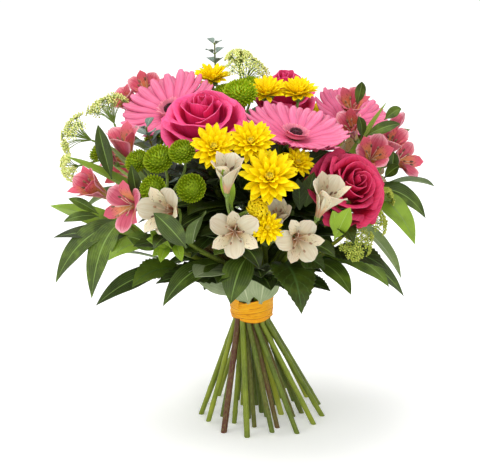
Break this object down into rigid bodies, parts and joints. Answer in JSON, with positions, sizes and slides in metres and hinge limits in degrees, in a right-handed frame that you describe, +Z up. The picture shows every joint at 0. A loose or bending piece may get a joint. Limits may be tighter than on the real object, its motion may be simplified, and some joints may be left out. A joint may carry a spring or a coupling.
{
  "type": "flower bouquet",
  "caption": "Round spiral hand-tied bouquet of mixed cut flowers and leaves, tied with a crinkled ribbon and standing on its level-cut, splayed stem ends.",
  "frame": {"origin": "middle of the bouquet's box on the surface that the cut stem ends stand on", "axes": "+Z up along the bundle, +X to the right as the picture shows it, +Y away from the viewer"},
  "size_m": [0.36, 0.3118, 0.3541],
  "materials": {
    "alstroemeria_cream": "satin petals with brown streaks",
    "alstroemeria_pink": "satin petals with dark streaks",
    "chrysanthemum_yellow": "satin petals",
    "crimson_rose": "satin petals",
    "eucalyptus_grey": "waxy, matte",
    "gerbera_eye": "matte, velvety",
    "gerbera_pink": "satin petals",
    "hot_pink_rose": "satin petals",
    "santini_green": "matte",
    "stem_green": "smooth, satin",
    "tie_orange": "crinkled paper ribbon, matte",
    "umbel_green": "matte"
  },
  "bodies": {
    "root": {"cream_front": "stem_green", "cream_front_umbel": "alstroemeria_cream", "cream_left": "stem_green", "cream_left_umbel": "alstroemeria_cream", "cream_rear": "stem_green", "cream_rear_umbel": "alstroemeria_cream", "cream_right": "stem_green", "cream_right_umbel": "alstroemeria_cream", "eucalyptus_left": "eucalyptus_grey", "eucalyptus_top": "eucalyptus_grey", "foliage_left": "stem_green", "foliage_right": "stem_green", "gerbera_back": "stem_green", "gerbera_back_eye": "gerbera_eye", "gerbera_back_petals": "gerbera_pink", "gerbera_left": "stem_green", "gerbera_left_eye": "gerbera_eye", "gerbera_left_petals": "gerbera_pink", "gerbera_right": "stem_green", "gerbera_right_eye": "gerbera_eye", "gerbera_right_petals": "gerbera_pink", "mum_front": "stem_green", "mum_front_heads": "chrysanthemum_yellow", "mum_left": "stem_green", "mum_left_head": "chrysanthemum_yellow", "mum_low": "stem_green", "mum_rear": "stem_green", "mum_rear_heads": "chrysanthemum_yellow", "mum_right_head": "chrysanthemum_yellow", "mum_top": "stem_green", "mum_top_heads": "chrysanthemum_yellow", "pink_back": "stem_green", "pink_back_umbel": "alstroemeria_pink", "pink_high": "stem_green", "pink_high_umbel": "alstroemeria_pink", "pink_left": "stem_green", "pink_left_umbel": "alstroemeria_pink", "pink_peak": "stem_green", "pink_peak_umbel": "alstroemeria_pink", "pink_rear": "stem_green", "pink_rear_umbel": "alstroemeria_pink", "pink_right": "stem_green", "pink_right_umbel": "alstroemeria_pink", "rose_back": "stem_green", "rose_back_bloom": "hot_pink_rose", "rose_left": "stem_green", "rose_left_bloom": "hot_pink_rose", "rose_rear": "stem_green", "rose_rear_bloom": "hot_pink_rose", "rose_right": "stem_green", "rose_right_bloom": "crimson_rose", "santini_left": "santini_green", "santini_rear": "santini_green", "santini_top": "santini_green", "tie": "tie_orange", "umbel_left": "umbel_green", "umbel_rear": "umbel_green", "umbel_right": "umbel_green", "umbel_top": "umbel_green"}
  },
  "joints": []
}
